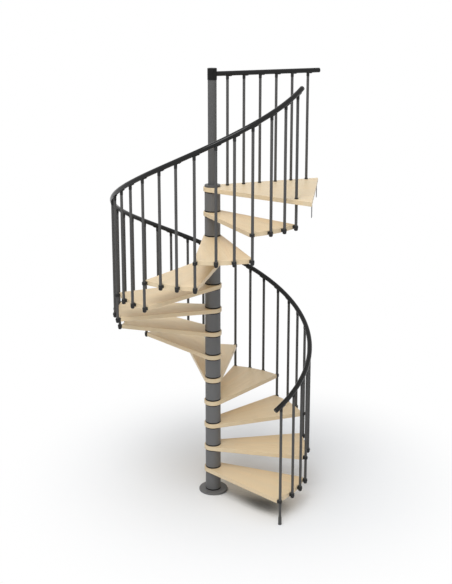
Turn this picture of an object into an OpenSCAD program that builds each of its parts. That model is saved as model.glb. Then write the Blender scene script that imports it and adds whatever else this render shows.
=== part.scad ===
// Spiral staircase: wooden wedge treads and spacer tubes stacked on one centre pole,
// with a wedge landing at the top, a helical handrail and a straight landing guard.
// Millimetres, +Z up. The origin is the centre of the base plate's underside.

/* [Flight] */
// Height from the top of one tread to the top of the next
riser = 220; // [190:1:240]
// Turn from one tread to the next, in degrees
tread_turn = 30.9; // [29:0.1:31.5]
// Direction of the first baluster, in degrees from +X
start_angle = -47.9; // [-180:0.1:180]

/* [Treads] */
// Thickness of the treads and the landing
tread_t = 38; // [30:1:50]
// Radius of the treads' outer edge
tread_r = 850; // [700:1:950]
// Radius of the round hub at the narrow end
hub_r = 80; // [78:0.5:100]
// Half of the angle between a tread's two straight edges
tread_edge_angle = 11.1; // [10:0.1:12.5]

/* [Landing] */
// Distance from the circle of the treads' outer edges to the landing's straight outer edge
landing_lip = 45; // [30:1:120]
// Half of the angle between the landing's two straight side edges
landing_edge_angle = 26.8; // [26:0.1:32]
// Turn from the last baluster to the landing's centreline
landing_turn = 29.2; // [27:0.1:30]

/* [Column] */
// Diameter of the centre pole
pole_d = 77; // [60:1:90]
// Outer diameter of the spacer tubes
spacer_d = 139; // [120:1:150]
// Wall of the spacer tubes
spacer_wall = 5; // [3:0.5:12]
// Diameter of the thin discs above and below each tread
disc_d = 141; // [126:1:152]
// Thickness of the thin discs
disc_t = 11; // [4:1:14]
// Diameter of the base plate
base_d = 260; // [200:1:400]
// Thickness of the base plate
base_t = 15; // [8:1:25]
// Rounding of the base plate's top edge
base_round = 5; // [1:0.5:7]
// Height of the collar on top of the landing
collar_t = 18; // [8:1:40]
// Clearance round the pole in the pieces that it passes through
pole_fit = 0.3; // [0.1:0.1:0.8]

/* [Balusters] */
// Diameter of the balusters
baluster_d = 24; // [16:1:26]
// Turn from a tread's front baluster to its first middle one
first_middle_turn = 11.2; // [9:0.1:12]
// Turn from a tread's front baluster to its second middle one
second_middle_turn = 20.9; // [19:0.1:22]
// Clearance round a baluster in the pieces that hold it
baluster_fit = 0.3; // [0.1:0.1:0.6]
// Diameter of the foot sleeve on the first baluster
foot_d = 30; // [27:0.5:40]
// Height of the foot sleeve
foot_h = 72; // [40:1:120]
// Thickness of the foot sleeve's sole
foot_sole = 6; // [3:0.5:12]
// Rounding of the foot sleeve's lower edge
foot_round = 5; // [1:0.5:8]

/* [Clamps] */
// Distance from a tread's outer edge to the baluster's axis
clamp_reach = 22.6; // [19:0.1:35]
// Width of a clamp along the tread's edge
clamp_w = 36; // [32:1:44]
// Height of a clamp
clamp_h = 24; // [16:1:30]
// Diameter of the rounded cap that closes a clamp from below
end_cap_d = 33; // [28:1:36]
// Height of that cap
end_cap_h = 19; // [12:1:26]
// Rounding of that cap's lower edge
end_cap_round = 11; // [4:0.5:11.5]
// Gap between a piece and the curved face that it seats on
seat_gap = 0.2; // [0.1:0.1:0.4]

/* [Handrail] */
// Diameter of the handrail and the landing rail
rail_d = 42; // [38:1:60]
// Height of the handrail's centre above the middle of a tread, at the tread's front baluster
rail_h = 893; // [800:1:1000]
// Length of handrail beyond the first and last balusters, along the plan circle
rail_overhang = 62; // [45:1:120]
// Length of the plug that closes a rail's end
plug_l = 8; // [7:0.5:20]
// Rounding of the plug's outer edge
plug_round = 5; // [2:0.5:6]
// Diameter of the sleeve that holds a baluster's top
sleeve_d = 27; // [27:0.5:36]
// Length of that sleeve below the rail
sleeve_h = 30; // [22:1:50]
// Length of the saddle under the rail
saddle_l = 38; // [24:1:60]
// Width of the saddle
saddle_w = 20; // [12:1:26]
// Thickness of the saddle below the rail
saddle_t = 3.5; // [2.5:0.5:8]

/* [Landing guard] */
// Turn from the landing's centreline to the landing rail
guard_turn = 30.1; // [26:0.1:30.5]
// Height of the landing rail's centre above the landing
guard_h = 980; // [900:1:1100]
// Distance from the axis to the guard's first baluster
guard_first = 142; // [110:1:180]
// Length of landing rail beyond the guard's last baluster
guard_overhang = 107; // [60:1:115]
// Distance from the end of the landing rail to the landing's outer edge
guard_inset = 12.5; // [8:0.5:40]
// Diameter of the rings where balusters stand on or pass through the landing
ring_d = 31; // [28:1:44]
// Height of those rings
ring_h = 10; // [5:1:20]
// Diameter of the pole cap
cap_d = 82; // [81:0.5:100]
// Height of the pole cap
cap_h = 99; // [70:1:140]
// Thickness of the pole cap's top
cap_top_t = 6; // [3:0.5:12]
// Rounding of the pole cap's upper edge
cap_round = 5; // [1:0.5:8]

/* [Landing brackets] */
// Width of a fixing bracket along the landing's edge
bracket_w = 50; // [30:1:80]
// Thickness of a fixing bracket
bracket_t = 6; // [4:0.5:10]
// Inner radius of a fixing bracket's bend
bracket_bend = 6; // [3:0.5:12]
// Length of the bracket's hanging leg
bracket_drop = 106; // [60:1:160]
// Length of the bracket's leg that is let into the landing's underside
bracket_leg = 50; // [40:1:120]
// Clearance round that leg in its rebate
bracket_fit = 0.3; // [0.1:0.1:1]
// Diameter of the fixing hole in the hanging leg
bracket_hole_d = 11; // [6:0.5:14]
// Distance from the landing's front corner to the middle of the front bracket
front_bracket_inset = 60; // [42:1:300]
// Distance from the landing's rear corner to the middle of the rear bracket
rear_bracket_inset = 205; // [42:1:400]

/* [Hidden] */
tread_count = 12;
guard_count = 6;
balusters_per_tread = 3;
last_baluster = tread_count * balusters_per_tread;
rail_steps = 120;
rail_sides = 16;
cut = 1;
$fn = 96;

// Heights of the stack
spacer_l = riser - tread_t - 2 * disc_t;
landing_level = tread_count + 1;
function top_of(level) = base_t + level * riser;
function bottom_of(level) = top_of(level) - tread_t;
function middle_of(level) = top_of(level) - tread_t / 2;

// Balusters stand on one circle and are counted from the foot of the stair
baluster_r = tread_r + clamp_reach;
turn_in_tread = [0, first_middle_turn, second_middle_turn];
function tread_under(k) = floor(k / balusters_per_tread);
function turn_of(k) = tread_under(k) * tread_turn + turn_in_tread[k % balusters_per_tread];
function angle_of(k) = start_angle + turn_of(k);
tread_middle_turn = tread_turn / 2;

// The handrail climbs one riser in each tread's turn
slope = atan(riser / (baluster_r * tread_turn * PI / 180));
function rail_z(turn) = middle_of(1) + rail_h + riser * turn / tread_turn;
overhang_turn = rail_overhang / baluster_r * 180 / PI;
rail_first_turn = -overhang_turn;
rail_last_turn = turn_of(last_baluster) + overhang_turn;
function underside(tilt) = rail_d / 2 / cos(tilt);
baluster_headroom = 1.5;
function top_drop(tilt) = underside(tilt) + baluster_d / 2 * tan(tilt) + baluster_headroom;

// The landing and its guard
landing_reach = tread_r + landing_lip;
landing_angle = angle_of(last_baluster) + landing_turn;
guard_angle = landing_angle + guard_turn;
guard_z = top_of(landing_level) + guard_h;
guard_end = landing_reach / cos(guard_turn) - guard_inset;
guard_last = guard_end - guard_overhang;
guard_pitch = (guard_last - guard_first) / (guard_count - 1);
cap_z = guard_z - cap_h / 2;
pole_top = cap_z + cap_h - cap_top_t;

// The straight edges of a wedge lie a little inside the hub's tangents, so that the outlines cross
edge_inset = 0.5;
function half_width(edge_angle, x) = (hub_r - edge_inset) / cos(edge_angle) + x * tan(edge_angle);
landing_half_w = half_width(landing_edge_angle, landing_reach);
front_bracket_place = front_bracket_inset - landing_half_w;
rear_bracket_place = landing_half_w - rear_bracket_inset;

wood = "burlywood";
grey = "dimgray";
black = "#222222";

function two_digits(n) = str(n < 10 ? "0" : "", n);
function tread_name(n) = str("tread_", two_digits(n));
function balusters_name(n) = str("balusters_", two_digits(n));

// Turned disc with a rounded upper edge, standing on z = 0
module rounded_disc(d, h, round) {
    rotate_extrude() {
        square([d / 2 - round, h]);
        square([d / 2, h - round]);
        translate([d / 2 - round, h - round])
            intersection() {
                circle(r = round);
                square(round);
            }
    }
}

// Flat ring standing on z = 0
module ring(outer_d, inner_d, h) {
    difference() {
        cylinder(d = outer_d, h = h);
        translate([0, 0, -cut])
            cylinder(d = inner_d, h = h + 2 * cut);
    }
}

// Moves children onto the baluster circle, with +X pointing outwards
module at_baluster(k, z) {
    rotate([0, 0, angle_of(k)])
        translate([baluster_r, 0, z])
            children();
}

// Moves children onto the landing guard's line, with +X pointing outwards
module at_guard(i, z) {
    rotate([0, 0, guard_angle])
        translate([guard_first + i * guard_pitch, 0, z])
            children();
}

// Space between two straight edges that leave the hub as tangents, out to a given distance
module wedge_plan(edge_angle, reach) {
    side = [for (x = [-(hub_r - edge_inset) * sin(edge_angle), reach]) [x, half_width(edge_angle, x)]];
    polygon(concat(side, [for (p = [side[1], side[0]]) [p[0], -p[1]]]));
}

module pole_bore(h) {
    translate([0, 0, -cut])
        cylinder(d = pole_d + 2 * pole_fit, h = h + 2 * cut);
}

module base_plate() {
    color(grey)
        rounded_disc(base_d, base_t, base_round);
}

module centre_pole() {
    color(grey)
        translate([0, 0, base_t])
            cylinder(d = pole_d, h = pole_top - base_t);
}

module spacer_tubes() {
    color(grey)
        for (level = [0 : tread_count])
            translate([0, 0, top_of(level) + disc_t])
                ring(spacer_d, spacer_d - 2 * spacer_wall, spacer_l);
}

module spacer_discs() {
    color(black)
        for (level = [0 : tread_count], z = [0, disc_t + spacer_l])
            translate([0, 0, top_of(level) + z])
                ring(disc_d, pole_d + 2 * pole_fit, disc_t);
}

module tread(n) {
    color(wood)
        rotate([0, 0, angle_of((n - 1) * balusters_per_tread) + tread_middle_turn])
            translate([0, 0, bottom_of(n)])
                difference() {
                    linear_extrude(tread_t) {
                        circle(r = hub_r);
                        intersection() {
                            circle(r = tread_r);
                            wedge_plan(tread_edge_angle, tread_r);
                        }
                    }
                    pole_bore(tread_t);
                }
}

module landing() {
    color(wood)
        translate([0, 0, bottom_of(landing_level)])
            difference() {
                rotate([0, 0, landing_angle])
                    union() {
                        cylinder(r = hub_r, h = tread_t);
                        linear_extrude(tread_t)
                            wedge_plan(landing_edge_angle, landing_reach);
                    }
                pole_bore(tread_t);
                at_baluster(last_baluster, -cut)
                    cylinder(d = baluster_d + 2 * baluster_fit, h = tread_t + 2 * cut);
                for (place = [front_bracket_place, rear_bracket_place])
                    at_bracket(place)
                        bracket_rebate();
            }
}

module landing_collar() {
    color(grey)
        translate([0, 0, top_of(landing_level)])
            ring(spacer_d, pole_d + 2 * pole_fit, collar_t);
}

module pole_cap() {
    color(black)
        translate([0, 0, cap_z])
            difference() {
                rounded_disc(cap_d, cap_h, cap_round);
                translate([0, 0, -cut])
                    cylinder(d = pole_d + 2 * pole_fit, h = cap_h - cap_top_t + cut);
            }
}

// Point on the handrail's surface, round a section that is square to the rail's own direction
function rail_point(turn, round_turn) =
    let (a = start_angle + turn)
    let (out = rail_d / 2 * cos(round_turn), up = rail_d / 2 * sin(round_turn))
    [
        (baluster_r + out) * cos(a) + up * sin(slope) * sin(a),
        (baluster_r + out) * sin(a) - up * sin(slope) * cos(a),
        rail_z(turn) + up * cos(slope)
    ];

module handrail() {
    step_turn = (rail_last_turn - rail_first_turn) / rail_steps;
    points = [
        for (i = [0 : rail_steps], j = [0 : rail_sides - 1])
            rail_point(rail_first_turn + i * step_turn, 360 * j / rail_sides)
    ];
    sides = [
        for (i = [0 : rail_steps - 1], j = [0 : rail_sides - 1])
            let (next = (j + 1) % rail_sides, here = i * rail_sides, ahead = here + rail_sides)
            [here + j, here + next, ahead + next, ahead + j]
    ];
    first_end = [for (j = [rail_sides - 1 : -1 : 0]) j];
    last_end = [for (j = [0 : rail_sides - 1]) rail_steps * rail_sides + j];
    color(black)
        polyhedron(points, concat(sides, [first_end, last_end]));
}

module landing_rail() {
    color(black)
        difference() {
            rotate([0, 0, guard_angle])
                translate([0, 0, guard_z])
                    rotate([0, 90, 0])
                        cylinder(d = rail_d, h = guard_end);
            translate([0, 0, cap_z - cut])
                cylinder(d = cap_d + 2 * seat_gap, h = cap_h + 2 * cut);
        }
}

// Rounded plug on the end of a rail, pointing along +Z
module rail_plug() {
    rounded_disc(rail_d, plug_l, plug_round);
}

module handrail_plug(turn, lean) {
    rotate([0, 0, start_angle + turn])
        translate([baluster_r, 0, rail_z(turn)])
            rotate([lean, 0, 0])
                rail_plug();
}

module rail_end_plugs() {
    color(black) {
        handrail_plug(rail_first_turn, slope + 90);
        handrail_plug(rail_last_turn, slope - 90);
        rotate([0, 0, guard_angle])
            translate([guard_end, 0, guard_z])
                rotate([0, 90, 0])
                    rail_plug();
    }
}

// Height of the lower end of a baluster: at the underside of the clamp that it ends in
function foot_z(level) = middle_of(level) - clamp_h / 2;
function head_z(k) = rail_z(turn_of(k)) - top_drop(slope);

module baluster(k, z) {
    at_baluster(k, z)
        cylinder(d = baluster_d, h = head_z(k) - z);
}

module first_baluster() {
    color(grey)
        baluster(0, foot_sole);
}

module first_baluster_foot() {
    color(grey)
        at_baluster(0, 0)
            difference() {
                translate([0, 0, foot_h])
                    mirror([0, 0, 1])
                        rounded_disc(foot_d, foot_h, foot_round);
                translate([0, 0, foot_sole])
                    cylinder(d = baluster_d + 2 * baluster_fit, h = foot_h);
            }
}

// The three balusters that end on one tread
module balusters(n) {
    color(grey)
        for (i = [1 : balusters_per_tread])
            baluster((n - 1) * balusters_per_tread + i, foot_z(n));
}

module landing_balusters() {
    color(grey)
        for (i = [0 : guard_count - 1])
            at_guard(i, top_of(landing_level))
                cylinder(d = baluster_d, h = guard_h - top_drop(0));
}

module landing_baluster_rings() {
    color(black) {
        for (i = [0 : guard_count - 1])
            at_guard(i, top_of(landing_level))
                ring(ring_d, baluster_d + 2 * baluster_fit, ring_h);
        at_baluster(last_baluster, top_of(landing_level))
            ring(ring_d, baluster_d + 2 * baluster_fit, ring_h);
    }
}

// Block that holds a baluster against the curved edge of a tread
module clamp(k, level) {
    at_baluster(k, foot_z(level))
        difference() {
            union() {
                cylinder(d = clamp_w, h = clamp_h);
                translate([-clamp_reach - cut, -clamp_w / 2, 0])
                    cube([clamp_reach + cut, clamp_w, clamp_h]);
            }
            translate([-baluster_r, 0, -cut])
                cylinder(r = tread_r + seat_gap, h = clamp_h + 2 * cut);
            translate([0, 0, -cut])
                cylinder(d = baluster_d + 2 * baluster_fit, h = clamp_h + 2 * cut);
        }
}

// Clamps on every tread, for the given balusters of that tread
module clamps(places) {
    color(black)
        for (n = [1 : tread_count], i = places)
            clamp((n - 1) * balusters_per_tread + i, n);
}

module front_corner_clamps() {
    clamps([0]);
}

module middle_clamps() {
    clamps([1 : balusters_per_tread - 1]);
}

module rear_corner_clamps() {
    clamps([balusters_per_tread]);
}

module baluster_end_caps() {
    color(black)
        for (n = [1 : tread_count], i = [1 : balusters_per_tread])
            at_baluster((n - 1) * balusters_per_tread + i, foot_z(n))
                mirror([0, 0, 1])
                    rounded_disc(end_cap_d, end_cap_h, end_cap_round);
}

// Sleeve on a baluster's top with a saddle under the rail, round the rail's centre.
// The rail runs along +Y and climbs by the tilt.
module rail_bracket(tilt) {
    sleeve_bottom = -underside(tilt) - sleeve_h;
    sleeve_top = -rail_d / 4;
    saddle_seat = rail_d / 8;
    difference() {
        union() {
            translate([0, 0, sleeve_bottom])
                cylinder(d = sleeve_d, h = sleeve_top - sleeve_bottom);
            rotate([tilt, 0, 0])
                translate([-saddle_w / 2, 0, -rail_d / 2 - saddle_t])
                    cube([saddle_w, saddle_l, saddle_t + saddle_seat]);
        }
        rotate([tilt - 90, 0, 0])
            translate([0, 0, -rail_d])
                cylinder(d = rail_d + 2 * seat_gap, h = saddle_l + 2 * rail_d);
        translate([0, 0, sleeve_bottom - cut])
            cylinder(d = baluster_d + 2 * baluster_fit, h = -top_drop(tilt) - sleeve_bottom + cut);
    }
}

module rail_brackets() {
    color(black) {
        for (k = [0 : last_baluster])
            at_baluster(k, rail_z(turn_of(k)))
                rail_bracket(slope);
        for (i = [0 : guard_count - 1])
            at_guard(i, guard_z)
                rotate([0, 0, -90])
                    rail_bracket(0);
    }
}

// Moves children to a bracket's upper outer corner, from the landing's underside at z = 0
module at_bracket(place) {
    rotate([0, 0, landing_angle])
        translate([landing_reach, place, bracket_t])
            children();
}

// Space in the landing's underside for a bracket's leg
module bracket_rebate() {
    leg = bracket_leg + bracket_fit;
    width = bracket_w + 2 * bracket_fit;
    translate([-leg, -width / 2, -bracket_t - cut])
        cube([leg + cut, width, bracket_t + cut]);
}

// Bent plate seen from its side, with its outer corner at the origin and its legs along -X and -Y
module bracket_profile() {
    bend_r = bracket_bend + bracket_t;
    translate([-bracket_leg, -bracket_t])
        square([bracket_leg - bend_r, bracket_t]);
    translate([-bracket_t, -bracket_drop])
        square([bracket_t, bracket_drop - bend_r]);
    translate([-bend_r, -bend_r])
        intersection() {
            difference() {
                circle(r = bend_r);
                circle(r = bracket_bend);
            }
            square(bend_r);
        }
}

// Angle bracket at the landing's outer edge, at a given place along that edge
module landing_bracket(place) {
    color(grey)
        translate([0, 0, bottom_of(landing_level)])
            at_bracket(place)
                difference() {
                    translate([0, bracket_w / 2, 0])
                        rotate([90, 0, 0])
                            linear_extrude(bracket_w)
                                bracket_profile();
                    translate([-bracket_t - cut, 0, -(bracket_drop + bracket_t) / 2])
                        rotate([0, 90, 0])
                            cylinder(d = bracket_hole_d, h = bracket_t + 2 * cut);
                }
}

module landing_bracket_front() {
    landing_bracket(front_bracket_place);
}

module landing_bracket_rear() {
    landing_bracket(rear_bracket_place);
}

base_plate();
centre_pole();
spacer_tubes();
spacer_discs();
for (n = [1 : tread_count]) tread(n);
landing();
landing_collar();
pole_cap();
handrail();
landing_rail();
rail_end_plugs();
first_baluster();
first_baluster_foot();
for (n = [1 : tread_count]) balusters(n);
landing_balusters();
landing_baluster_rings();
front_corner_clamps();
middle_clamps();
rear_corner_clamps();
baluster_end_caps();
rail_brackets();
landing_bracket_front();
landing_bracket_rear();
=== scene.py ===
"""Looks of the spiral staircase: rounded edges, wood, paint, moulded fittings and screws.

Metres, +Z up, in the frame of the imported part. Angles are in radians.
"""

import math

import bmesh
import bpy
from mathutils import Matrix, Vector


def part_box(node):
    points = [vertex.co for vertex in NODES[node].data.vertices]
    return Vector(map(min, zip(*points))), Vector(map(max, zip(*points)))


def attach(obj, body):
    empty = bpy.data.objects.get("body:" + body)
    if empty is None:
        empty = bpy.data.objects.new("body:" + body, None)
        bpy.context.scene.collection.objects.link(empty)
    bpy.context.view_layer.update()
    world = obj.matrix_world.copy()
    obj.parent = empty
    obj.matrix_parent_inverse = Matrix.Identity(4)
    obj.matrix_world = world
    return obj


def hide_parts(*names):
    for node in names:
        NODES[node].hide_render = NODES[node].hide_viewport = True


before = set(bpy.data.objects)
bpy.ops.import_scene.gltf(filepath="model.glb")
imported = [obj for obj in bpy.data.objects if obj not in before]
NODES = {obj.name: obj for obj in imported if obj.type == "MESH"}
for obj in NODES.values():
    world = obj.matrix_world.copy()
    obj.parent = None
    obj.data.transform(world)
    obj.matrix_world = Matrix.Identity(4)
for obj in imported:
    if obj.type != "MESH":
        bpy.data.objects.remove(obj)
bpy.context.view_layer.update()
UP = Vector((0, 0, 1))
DOWN = Vector((0, 0, -1))

# Counts of the flight and the guard
TREADS = 12
BALUSTERS_PER_TREAD = 3
GUARD_BALUSTERS = 6
LAST_BALUSTER = TREADS * BALUSTERS_PER_TREAD

# Handrail: its radius, its height over a tread's middle, and its reach past the end balusters
RAIL_R = 0.021
RAIL_HEIGHT = 0.893
RAIL_OVERHANG = 0.062

# Turns of a tread's two middle balusters from its front one
FIRST_MIDDLE_TURN = math.radians(11.2)
SECOND_MIDDLE_TURN = math.radians(20.9)
TURN_IN_TREAD = (0, FIRST_MIDDLE_TURN, SECOND_MIDDLE_TURN)

# Landing guard: its first baluster from the axis, the next ones, and its rail over the landing
GUARD_FIRST = 0.142
GUARD_PITCH = 0.1546
GUARD_HEIGHT = 0.980

# Seats of the screws
CLAMP_HALF_W = 0.018
SADDLE_T = 0.0035
SADDLE_SCREW_AT = 0.026
BRACKET_T = 0.006
BRACKET_SCREWS_AT = (0.020, 0.038)


# Measures taken from the frame

OUTER_BAND = 0.001


def middle(node):
    """Centre of a node's box."""
    low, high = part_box(node)
    return (low + high) / 2


def heading(node):
    """Direction in plan from the stair's axis to the middle of a node's outermost corners."""
    corners = [v.co for v in NODES[node].data.vertices]
    reach = max(corner.xy.length for corner in corners)
    outer = [corner for corner in corners if corner.xy.length > reach - OUTER_BAND]
    total = sum(outer, Vector())
    return math.atan2(total.y, total.x)


def extent(node, direction):
    """Lowest and highest place of a node's corners along a direction."""
    places = [v.co.dot(direction) for v in NODES[node].data.vertices]
    return min(places), max(places)


def outward(angle):
    """Level direction from the stair's axis at an angle."""
    return Vector((math.cos(angle), math.sin(angle), 0))


FIRST_BALUSTER = middle("first_baluster")
BALUSTER_R = FIRST_BALUSTER.xy.length
START_ANGLE = math.atan2(FIRST_BALUSTER.y, FIRST_BALUSTER.x)
RISER = middle("tread_02").z - middle("tread_01").z
TREAD_TURN = (heading("tread_02") - heading("tread_01")) % math.tau
FIRST_TREAD_Z = middle("tread_01").z
SLOPE = math.atan(RISER / (BALUSTER_R * TREAD_TURN))
LANDING_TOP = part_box("landing")[1].z
LANDING_HEADING = heading("landing")
GUARD_HEADING = heading("landing_rail")


def turn_of(k):
    """Turn from the first baluster to baluster k."""
    tread, place = divmod(k, BALUSTERS_PER_TREAD)
    return tread * TREAD_TURN + TURN_IN_TREAD[place]


def rail_z(turn):
    """Height of the handrail's centre."""
    return FIRST_TREAD_Z + RAIL_HEIGHT + RISER * turn / TREAD_TURN


# Shader nodes

# Places of a mix node's sockets
MIX_SHARE = 0
NUMBER_A = 2
NUMBER_B = 3
COLOUR_A = 6
COLOUR_B = 7
COLOUR_OUT = 2


def new_material(name):
    """Material with a principled shader, as (material, node tree, shader)."""
    material = bpy.data.materials.new(name)
    material.use_nodes = True
    tree = material.node_tree
    return material, tree, tree.nodes["Principled BSDF"]


def put(tree, kind, inputs=(), **settings):
    """New shader node with its settings and its inputs, each a value or another node's output."""
    made = tree.nodes.new(kind)
    for key, value in settings.items():
        setattr(made, key, value)
    for key, value in dict(inputs).items():
        if isinstance(value, bpy.types.NodeSocket):
            tree.links.new(value, made.inputs[key])
        else:
            made.inputs[key].default_value = value
    return made


def calc(tree, operation, first, second=0.0):
    """Output of one math node."""
    return put(tree, "ShaderNodeMath", {0: first, 1: second}, operation=operation).outputs[0]


def between(tree, value, low, high):
    """A 0 to 1 output spread over the range from low to high."""
    inputs = {"Value": value, "To Min": low, "To Max": high}
    return put(tree, "ShaderNodeMapRange", inputs).outputs["Result"]


def ramp(tree, value, start, end, way="LINEAR"):
    """Output that goes from 0 to 1 while a value goes from start to end."""
    inputs = {"Value": value, "From Min": start, "From Max": end}
    return put(tree, "ShaderNodeMapRange", inputs, interpolation_type=way).outputs["Result"]


def blend(tree, share, first, second, way="MIX"):
    """Colour output between two colours."""
    inputs = {MIX_SHARE: share, COLOUR_A: first, COLOUR_B: second}
    made = put(tree, "ShaderNodeMix", inputs, data_type="RGBA", blend_type=way)
    return made.outputs[COLOUR_OUT]


def noise(tree, place, scale, detail):
    """Noise output with its own cycles per metre along each axis."""
    spread = put(tree, "ShaderNodeMapping", {"Vector": place, "Scale": scale}).outputs[0]
    inputs = {"Vector": spread, "Scale": 1.0, "Detail": detail}
    return put(tree, "ShaderNodeTexNoise", inputs).outputs[0]


def even_noise(tree, place, scale, detail):
    """Noise output with the same cycles per metre along all axes."""
    return noise(tree, place, (scale, scale, scale), detail)


def object_place(tree):
    """Place on the object, in metres."""
    return put(tree, "ShaderNodeTexCoord").outputs["Object"]


def bump(tree, shader, height, strength, depth):
    """Surface relief from a height output, with its depth in metres."""
    inputs = {"Height": height, "Strength": strength, "Distance": depth}
    tree.links.new(put(tree, "ShaderNodeBump", inputs).outputs[0], shader.inputs["Normal"])


def mottle(tree, shader, cloud, colour, shares):
    """Base colour that drifts with a cloud output between two shares of a colour."""
    dark, light = [tuple(c * share for c in colour) + (1,) for share in shares]
    tree.links.new(blend(tree, cloud, dark, light), shader.inputs["Base Color"])


def roughen(tree, shader, texture, low, high):
    """Roughness that follows a texture output."""
    tree.links.new(between(tree, texture, low, high), shader.inputs["Roughness"])


# Beech, with scales in cycles per metre along, across and up the grain

BEECH_LIGHT = (0.85, 0.705, 0.485, 1)
BEECH_DARK = (0.78, 0.63, 0.415, 1)
BEECH_FLECK = (0.47, 0.33, 0.20, 1)
STAVE_WARM = (1.0, 0.965, 0.92, 1)
STAVE_COOL = (0.955, 0.955, 0.95, 1)
STAVE_W = 0.042
STAVE_L = 0.46
RINGS_PER_METRE = 260
RING_DETAIL = 1.5
RING_SHARE = 0.55
WANDER = 0.012
WANDER_SCALE = (1.6, 14, 14)
PITH_ASIDE = 0.16
PITH_BELOW = (0.03, 0.14)
FIBRE_SCALE = (9, 420, 420)
FIBRE_SHARE = 0.45
FLECK_SCALE = (170, 1300, 1300)
FLECK_FROM = 0.66
FLECK_TO = 0.76
FLECK_SHARE = 0.55
TONE_FROM = 0.3
TONE_TO = 0.7
WOOD_ROUGH = (0.36, 0.50)
WOOD_GLOSS = 0.4
GRAIN_RELIEF = 0.25
GRAIN_DEPTH = 0.0004


def wood(name, grain, seed):
    """Lacquered beech glued up from staves that run along the grain's direction."""
    material, tree, shader = new_material(name)
    inputs = {"Vector": object_place(tree), "Rotation": (0, 0, -grain)}
    place = put(tree, "ShaderNodeMapping", inputs).outputs[0]
    split = put(tree, "ShaderNodeSeparateXYZ", {0: place}).outputs
    along, across, up = split[0], split[1], split[2]

    # Staves side by side, each cut into boards whose ends are offset
    stave = calc(tree, "FLOOR", calc(tree, "DIVIDE", across, STAVE_W))
    inputs = {"W": calc(tree, "ADD", stave, seed)}
    shift = put(tree, "ShaderNodeTexWhiteNoise", inputs, noise_dimensions="1D").outputs["Value"]
    along_boards = calc(tree, "ADD", calc(tree, "DIVIDE", along, STAVE_L), shift)
    board = calc(tree, "FLOOR", along_boards)
    board_id = put(tree, "ShaderNodeCombineXYZ", {0: stave, 1: board, 2: seed}).outputs[0]
    inputs = {"Vector": board_id}
    chance = put(tree, "ShaderNodeTexWhiteNoise", inputs, noise_dimensions="3D").outputs["Color"]
    draws = put(tree, "ShaderNodeSeparateColor", {0: chance}).outputs
    inputs = {0: place, 1: chance}
    board_place = put(tree, "ShaderNodeVectorMath", inputs, operation="ADD").outputs[0]

    # Growth rings round a pith that lies off each board
    wander = between(tree, noise(tree, board_place, WANDER_SCALE, detail=2), -WANDER, WANDER)
    pith_across = between(tree, draws[0], -PITH_ASIDE, PITH_ASIDE)
    pith_up = between(tree, draws[1], *PITH_BELOW)
    ring_across = calc(tree, "ADD", calc(tree, "SUBTRACT", across, pith_across), wander)
    ring_up = calc(tree, "ADD", calc(tree, "ADD", up, pith_up), wander)
    ring_place = put(tree, "ShaderNodeCombineXYZ", {0: ring_across, 1: ring_up}).outputs[0]
    ring_r = put(tree, "ShaderNodeVectorMath", {0: ring_place}, operation="LENGTH").outputs["Value"]
    ring_count = calc(tree, "MULTIPLY", ring_r, RINGS_PER_METRE)
    inputs = {"W": ring_count, "Scale": 1.0, "Detail": RING_DETAIL}
    rings = put(tree, "ShaderNodeTexNoise", inputs, noise_dimensions="1D").outputs[0]

    # Fibres and the short dark flecks of beech
    fibre = noise(tree, board_place, FIBRE_SCALE, detail=3)
    fleck_noise = noise(tree, board_place, FLECK_SCALE, detail=0)
    fleck = calc(tree, "MULTIPLY", ramp(tree, fleck_noise, FLECK_FROM, FLECK_TO), FLECK_SHARE)

    # Colour, gloss and relief
    ring_part = calc(tree, "MULTIPLY", rings, RING_SHARE)
    fibre_part = calc(tree, "MULTIPLY", fibre, FIBRE_SHARE)
    grain_share = calc(tree, "ADD", ring_part, fibre_part)
    plain = blend(tree, ramp(tree, grain_share, TONE_FROM, TONE_TO), BEECH_LIGHT, BEECH_DARK)
    flecked = blend(tree, fleck, plain, BEECH_FLECK)
    tint = blend(tree, draws[2], STAVE_WARM, STAVE_COOL)
    colour = blend(tree, 1.0, flecked, tint, "MULTIPLY")
    tree.links.new(colour, shader.inputs["Base Color"])
    roughen(tree, shader, fibre, *WOOD_ROUGH)
    shader.inputs["Specular IOR Level"].default_value = WOOD_GLOSS
    bump(tree, shader, grain_share, GRAIN_RELIEF, GRAIN_DEPTH)
    return material


# Paint, plastic and plated steel, with scales in cycles per metre

COAT_CLOUD = 7
COAT_SHARES = (0.93, 1.07)
PEEL = 520
PEEL_ROUGH = 0.06
PEEL_RELIEF = 0.18
PEEL_DEPTH = 0.0004
MOULD_CLOUD = 30
MOULD_SHARES = (0.85, 1.2)
MOULD_ROUGH = 0.08
MOULD_RELIEF = 0.2
MOULD_DEPTH = 0.0003
MATT_GRAIN = 900
SMOOTH_GRAIN = 160
PLATE_CLOUD = 60
PLATE_SHARES = (0.8, 1.3)
PLATE_ROUGH = (0.30, 0.45)
PLATE_METAL = 0.8


def grey(level):
    """Colour with three equal parts."""
    return (level, level, level)


def powder_coat(name, colour, rough, gloss):
    """Satin powder coat with a fine orange peel."""
    material, tree, shader = new_material(name)
    place = object_place(tree)
    cloud = even_noise(tree, place, COAT_CLOUD, detail=3)
    peel = even_noise(tree, place, PEEL, detail=2)
    mottle(tree, shader, cloud, colour, COAT_SHARES)
    roughen(tree, shader, peel, rough - PEEL_ROUGH, rough + PEEL_ROUGH)
    shader.inputs["Specular IOR Level"].default_value = gloss
    bump(tree, shader, peel, PEEL_RELIEF, PEEL_DEPTH)
    return material


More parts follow.
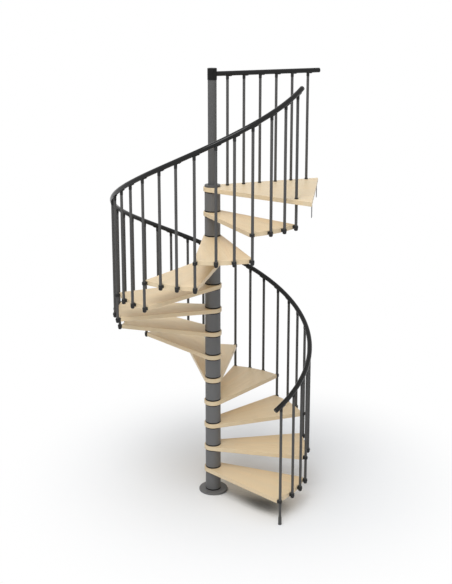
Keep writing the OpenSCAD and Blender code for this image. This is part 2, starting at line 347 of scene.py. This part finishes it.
def moulded(name, colour, rough, gloss, grain):
    """Moulded black plastic with a surface grain."""
    material, tree, shader = new_material(name)
    place = object_place(tree)
    cloud = even_noise(tree, place, MOULD_CLOUD, detail=2)
    texture = even_noise(tree, place, grain, detail=2)
    mottle(tree, shader, cloud, colour, MOULD_SHARES)
    roughen(tree, shader, texture, rough - MOULD_ROUGH, rough + MOULD_ROUGH)
    shader.inputs["Specular IOR Level"].default_value = gloss
    bump(tree, shader, texture, MOULD_RELIEF, MOULD_DEPTH)
    return material


def plated(name, colour):
    """Dull black-plated steel of the screws."""
    material, tree, shader = new_material(name)
    cloud = even_noise(tree, object_place(tree), PLATE_CLOUD, detail=3)
    mottle(tree, shader, cloud, colour, PLATE_SHARES)
    roughen(tree, shader, cloud, *PLATE_ROUGH)
    shader.inputs["Metallic"].default_value = PLATE_METAL
    return material


COLUMN_PAINT = powder_coat("column_paint", (0.158, 0.158, 0.159), rough=0.48, gloss=0.22)
POLE_PAINT = powder_coat("pole_paint", grey(0.106), rough=0.48, gloss=0.18)
BALUSTER_PAINT = powder_coat("baluster_paint", (0.095, 0.094, 0.093), rough=0.55, gloss=0.10)
BRACKET_PAINT = powder_coat("bracket_paint", (0.150, 0.150, 0.155), rough=0.45, gloss=0.25)
FITTING_PLASTIC = moulded("fitting_plastic", grey(0.027), rough=0.5, gloss=0.18, grain=MATT_GRAIN)
DISC_PLASTIC = moulded("disc_plastic", grey(0.011), rough=0.5, gloss=0.13, grain=MATT_GRAIN)
RAIL_PLASTIC = moulded("rail_plastic", grey(0.008), rough=0.14, gloss=0.26, grain=SMOOTH_GRAIN)
SCREW_STEEL = plated("screw_steel", (0.055, 0.055, 0.057))


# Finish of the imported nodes

WELD = 0.00001
FLAT_ANGLE = math.radians(0.5)
EDGE_ANGLE = math.radians(35)
EVEN_WEIGHT = 60
FIRST_SEED = 1.0
SEED_STEP = 7.0

tread_nodes = [f"tread_{n:02d}" for n in range(1, TREADS + 1)]
baluster_nodes = [f"balusters_{n:02d}" for n in range(1, TREADS + 1)]
clamp_nodes = ["front_corner_clamps", "middle_clamps", "rear_corner_clamps"]
bracket_nodes = ["landing_bracket_front", "landing_bracket_rear"]
wooden_nodes = tread_nodes + ["landing"]

FINISHES = (
    (COLUMN_PAINT, ["base_plate", "spacer_tubes"]),
    (POLE_PAINT, ["centre_pole", "landing_collar"]),
    (BALUSTER_PAINT, baluster_nodes + ["first_baluster", "first_baluster_foot", "landing_balusters"]),
    (FITTING_PLASTIC, clamp_nodes + ["baluster_end_caps", "rail_brackets", "landing_baluster_rings"]),
    (DISC_PLASTIC, ["spacer_discs", "pole_cap"]),
    (RAIL_PLASTIC, ["handrail", "landing_rail", "rail_end_plugs"]),
    (BRACKET_PAINT, bracket_nodes),
)

# Radius and segments of the rounded edges
EDGE_ROUNDS = (
    (0.0029, 4, wooden_nodes),
    (0.0020, 3, clamp_nodes + ["landing_collar"]),
    (0.0015, 3, ["first_baluster_foot"]),
    (0.0015, 2, ["landing_baluster_rings"]),
    (0.0012, 2, ["spacer_discs"]),
    (0.0010, 2, bracket_nodes),
)


def paint(node, material):
    """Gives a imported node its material."""
    piece = NODES[node]
    if not piece.material_slots:
        piece.data.materials.append(material)
    for place in piece.material_slots:
        place.material = material


def round_edges(node, radius, segments):
    """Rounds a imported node's sharp edges with modifiers."""
    piece = NODES[node]
    piece.data.shade_smooth()
    weld = piece.modifiers.new("weld", "WELD")
    weld.merge_threshold = WELD
    flat = piece.modifiers.new("flat_faces", "DECIMATE")
    flat.decimate_type = "DISSOLVE"
    flat.angle_limit = FLAT_ANGLE
    edges = piece.modifiers.new("round_edges", "BEVEL")
    edges.width = radius
    edges.segments = segments
    edges.limit_method = "ANGLE"
    edges.angle_limit = EDGE_ANGLE
    normals = piece.modifiers.new("even_normals", "WEIGHTED_NORMAL")
    normals.weight = EVEN_WEIGHT


for count, wooden in enumerate(wooden_nodes):
    paint(wooden, wood(f"beech_{wooden}", heading(wooden), FIRST_SEED + SEED_STEP * count))
for finish, nodes in FINISHES:
    for node in nodes:
        paint(node, finish)
for radius, segments, nodes in EDGE_ROUNDS:
    for node in nodes:
        round_edges(node, radius, segments)


# New pieces

RAIL_SIDES = 40
RAIL_RINGS = 480
SCREW_SIDES = 24
CLAMP_SCREW_R = 0.0045
SADDLE_SCREW_R = 0.0042
BRACKET_SCREW_R = 0.006

# Radius and height of a screw's rings, as shares of its head's radius
HEAD_RINGS = ((1.0, -0.1), (1.0, 0.175), (0.88, 0.35), (0.66, 0.5))
SOCKET_RINGS = ((0.42, 0.5), (0.42, 0.15))


def new_object(name, shape, material):
    """Object made from a bmesh, linked to the scene."""
    mesh = bpy.data.meshes.new(name)
    shape.to_mesh(mesh)
    shape.free()
    mesh.materials.append(material)
    made = bpy.data.objects.new(name, mesh)
    bpy.context.scene.collection.objects.link(made)
    return made


def add_piece(name, shape, material):
    """New piece that rides on the stair."""
    piece = new_object(name, shape, material)
    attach(piece, "root")
    return piece


def join_rings(shape, rings):
    """Closes rings of equal length into a smooth skin with flat ends."""
    for lower, upper in zip(rings, rings[1:]):
        for j, corner in enumerate(lower):
            k = (j + 1) % len(lower)
            side = shape.faces.new((corner, lower[k], upper[k], upper[j]))
            side.smooth = True
    shape.faces.new(rings[0][::-1])
    shape.faces.new(rings[-1])


def round_angles(sides):
    """Angles of evenly spaced corners round a circle."""
    return [math.tau * j / sides for j in range(sides)]


def rail_ring(shape, turn):
    """Corners of the handrail's round section at one turn."""
    direction = outward(START_ANGLE + turn)
    back = Vector((direction.y, -direction.x, 0))
    climb = back * math.sin(SLOPE) + UP * math.cos(SLOPE)
    centre = direction * BALUSTER_R + UP * rail_z(turn)
    spokes = [direction * math.cos(a) + climb * math.sin(a) for a in round_angles(RAIL_SIDES)]
    return [shape.verts.new(centre + spoke * RAIL_R) for spoke in spokes]


def helical_handrail():
    """Handrail as one fine sweep along the helix."""
    shape = bmesh.new()
    spare = RAIL_OVERHANG / BALUSTER_R
    whole = turn_of(LAST_BALUSTER) + 2 * spare
    rings = [rail_ring(shape, whole * i / RAIL_RINGS - spare) for i in range(RAIL_RINGS + 1)]
    join_rings(shape, rings)
    return shape


def hexagon_spoke(angle):
    """Point of a hexagon in a given direction, with its flats at 1 from the middle."""
    sixth = math.pi / 3
    past_flat = (angle + sixth / 2) % sixth - sixth / 2
    return outward(angle) / math.cos(past_flat)


ROUND_SPOKES = [outward(angle) for angle in round_angles(SCREW_SIDES)]
HEXAGON_SPOKES = [hexagon_spoke(angle) for angle in round_angles(SCREW_SIDES)]


def screw(shape, place, axis, head_r):
    """Domed screw head with a hexagon socket, standing on a place and facing along an axis."""
    turn = axis.to_track_quat("Z", "Y").to_matrix().to_4x4()
    matrix = Matrix.Translation(place) @ turn
    rings = []
    for spokes, steps in ((ROUND_SPOKES, HEAD_RINGS), (HEXAGON_SPOKES, SOCKET_RINGS)):
        for share, height in steps:
            spots = [(spoke * share + UP * height) * head_r for spoke in spokes]
            rings.append([shape.verts.new(matrix @ spot) for spot in spots])
    join_rings(shape, rings)


def clamp_screws():
    """One screw in the outer face of every clamp."""
    shape = bmesh.new()
    for tread in range(TREADS):
        for i in range(BALUSTERS_PER_TREAD + 1):
            out = outward(START_ANGLE + turn_of(tread * BALUSTERS_PER_TREAD + i))
            seat = out * (BALUSTER_R + CLAMP_HALF_W) + UP * (FIRST_TREAD_Z + tread * RISER)
            screw(shape, seat, out, CLAMP_SCREW_R)
    return shape


def saddle_screws():
    """One screw up through every saddle into the rail above it."""
    shape = bmesh.new()
    drop = RAIL_R + SADDLE_T
    for k in range(LAST_BALUSTER + 1):
        turn = turn_of(k)
        out = outward(START_ANGLE + turn)
        centre = out * BALUSTER_R + UP * rail_z(turn)
        uphill = Vector((-out.y, out.x, 0)) * math.cos(SLOPE) + UP * math.sin(SLOPE)
        below = out.cross(uphill) * -1
        screw(shape, centre + uphill * SADDLE_SCREW_AT + below * drop, below, SADDLE_SCREW_R)
    out = outward(GUARD_HEADING)
    for i in range(GUARD_BALUSTERS):
        centre = out * (GUARD_FIRST + i * GUARD_PITCH + SADDLE_SCREW_AT)
        screw(shape, centre + UP * (LANDING_TOP + GUARD_HEIGHT - drop), DOWN, SADDLE_SCREW_R)
    return shape


def bracket_screws():
    """Two screws up through each landing bracket into the wood."""
    shape = bmesh.new()
    out = outward(LANDING_HEADING)
    side = Vector((-out.y, out.x, 0))
    for bracket in bracket_nodes:
        edge = extent(bracket, out)[1]
        along = side * sum(extent(bracket, side)) / 2
        seat = UP * (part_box(bracket)[1].z - BRACKET_T)
        for inset in BRACKET_SCREWS_AT:
            screw(shape, out * (edge - inset) + along + seat, DOWN, BRACKET_SCREW_R)
    return shape


handrail = add_piece("helical_handrail", helical_handrail(), RAIL_PLASTIC)
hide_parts("handrail")
add_piece("clamp_screws", clamp_screws(), SCREW_STEEL)
add_piece("saddle_screws", saddle_screws(), SCREW_STEEL)
add_piece("bracket_screws", bracket_screws(), SCREW_STEEL)


# Studio

WHITE = (1, 1, 1, 1)
WHITE_STRENGTH = 1.0

# Floor: its finish, the shade painted into its colour close under the stair, and the ring where it
# turns white
FLOOR_R = 60.0
FLOOR_SIDES = 96
FLOOR_COLOUR = (0.91, 0.93, 0.955, 1)
FLOOR_ROUGH = 0.9
FLOOR_GLOSS = 0.0
# Painted shade: the dark blue-grey that the floor's colour turns to where the stair is close above it,
# and the occlusion reach, range and samples that spread it
PAINTED_SHADE_COLOUR = (0.03, 0.04, 0.055, 1)
PAINTED_SHADE_REACH = 0.42
PAINTED_SHADE_FROM = 0.33
PAINTED_SHADE_TO = 0.53
PAINTED_SHADE_SAMPLES = 16
WHITE_ROUND = (0.35, 0.30, 0)
WHITE_FROM = 0.5
WHITE_TO = 2.4

# Sky and key lamp
SKY_FROM = (-0.05, -0.20, 0.978)
SKY_FOCUS = 3.0
SKY_LOW = 0.22
SKY_GAIN = 1.32
KEY_AT = Vector((-1.0, -4.2, 7.5))
KEY_AIM = Vector((0, 0, 1.5))
KEY_SIZE = 4.0
KEY_POWER = 215

# Camera of the photograph
CAMERA_AT = (0.0803, -8.7192, 4.6169)
CAMERA_PITCH = math.radians(12.305)
CAMERA_YAW = math.radians(0.251)
CAMERA_LENS = 62.724
CAMERA_SHIFT_Y = -0.15
CAMERA_REACH = 500


def seen_directly(tree):
    """1 for rays from the camera, in mirrors and through glass, 0 for rays that light the object."""
    path = put(tree, "ShaderNodeLightPath").outputs
    seen = calc(tree, "MAXIMUM", path["Is Camera Ray"], path["Is Glossy Ray"])
    return calc(tree, "MAXIMUM", seen, path["Is Transmission Ray"])


def floor_material():
    """Pale floor that takes the real shadow, has shade painted into its colour near the stair, and
    turns white further out.
    """
    material, tree, shader = new_material("floor_white")
    # Painted shade: the floor's colour darkens towards a dark blue-grey where the ambient occlusion
    # finds the stair close
    inputs = {"Distance": PAINTED_SHADE_REACH}
    open_share = put(tree, "ShaderNodeAmbientOcclusion", inputs, samples=PAINTED_SHADE_SAMPLES).outputs["AO"]
    lit = ramp(tree, open_share, PAINTED_SHADE_FROM, PAINTED_SHADE_TO, "SMOOTHSTEP")
    tree.links.new(blend(tree, lit, PAINTED_SHADE_COLOUR, FLOOR_COLOUR), shader.inputs["Base Color"])
    shader.inputs["Roughness"].default_value = FLOOR_ROUGH
    shader.inputs["Specular IOR Level"].default_value = FLOOR_GLOSS
    inputs = {0: object_place(tree), 1: WHITE_ROUND}
    far = put(tree, "ShaderNodeVectorMath", inputs, operation="DISTANCE").outputs["Value"]
    fade = ramp(tree, far, WHITE_FROM, WHITE_TO, "SMOOTHSTEP")
    share = calc(tree, "MULTIPLY", fade, seen_directly(tree))
    inputs = {"Color": WHITE, "Strength": WHITE_STRENGTH}
    white = put(tree, "ShaderNodeEmission", inputs).outputs[0]
    mixed = put(tree, "ShaderNodeMixShader", {0: share, 1: shader.outputs[0], 2: white}).outputs[0]
    tree.links.new(mixed, tree.nodes["Material Output"].inputs["Surface"])
    return material


def studio_floor():
    """Round floor under the stair."""
    shape = bmesh.new()
    bmesh.ops.create_circle(shape, cap_ends=True, segments=FLOOR_SIDES, radius=FLOOR_R)
    floor = new_object("floor", shape, floor_material())


def studio_world():
    """Soft light that is strongest from above and in front, white where the camera sees it."""
    world = bpy.data.worlds.new("studio")
    world.use_nodes = True
    tree = world.node_tree
    light = tree.nodes["Background"]
    light.inputs["Color"].default_value = WHITE
    direction = put(tree, "ShaderNodeTexCoord").outputs["Generated"]
    inputs = {0: direction, 1: SKY_FROM}
    facing = put(tree, "ShaderNodeVectorMath", inputs, operation="DOT_PRODUCT").outputs["Value"]
    glow = calc(tree, "POWER", calc(tree, "MAXIMUM", facing, 0.0), SKY_FOCUS)
    sky = calc(tree, "ADD", calc(tree, "MULTIPLY", glow, SKY_GAIN), SKY_LOW)
    inputs = {MIX_SHARE: seen_directly(tree), NUMBER_A: sky, NUMBER_B: WHITE_STRENGTH}
    strength = put(tree, "ShaderNodeMix", inputs).outputs[0]
    tree.links.new(strength, light.inputs["Strength"])
    bpy.context.scene.world = world


def studio_lamp():
    """Large soft key lamp, high and in front."""
    data = bpy.data.lights.new("key", "AREA")
    data.shape = "DISK"
    data.size = KEY_SIZE
    data.energy = KEY_POWER
    lamp = bpy.data.objects.new("key", data)
    lamp.location = KEY_AT
    lamp.rotation_euler = (KEY_AIM - KEY_AT).to_track_quat("-Z", "Y").to_euler()
    bpy.context.scene.collection.objects.link(lamp)


def studio_camera():
    """Camera at the photograph's viewing angle."""
    data = bpy.data.cameras.new("camera")
    data.lens = CAMERA_LENS
    data.shift_y = CAMERA_SHIFT_Y
    data.clip_end = CAMERA_REACH
    camera = bpy.data.objects.new("camera", data)
    camera.location = CAMERA_AT
    camera.rotation_euler = (math.pi / 2 - CAMERA_PITCH, 0, -CAMERA_YAW)
    bpy.context.scene.collection.objects.link(camera)
    bpy.context.scene.camera = camera


studio_floor()
studio_world()
studio_lamp()
studio_camera()
bpy.context.scene.view_settings.view_transform = "Standard"
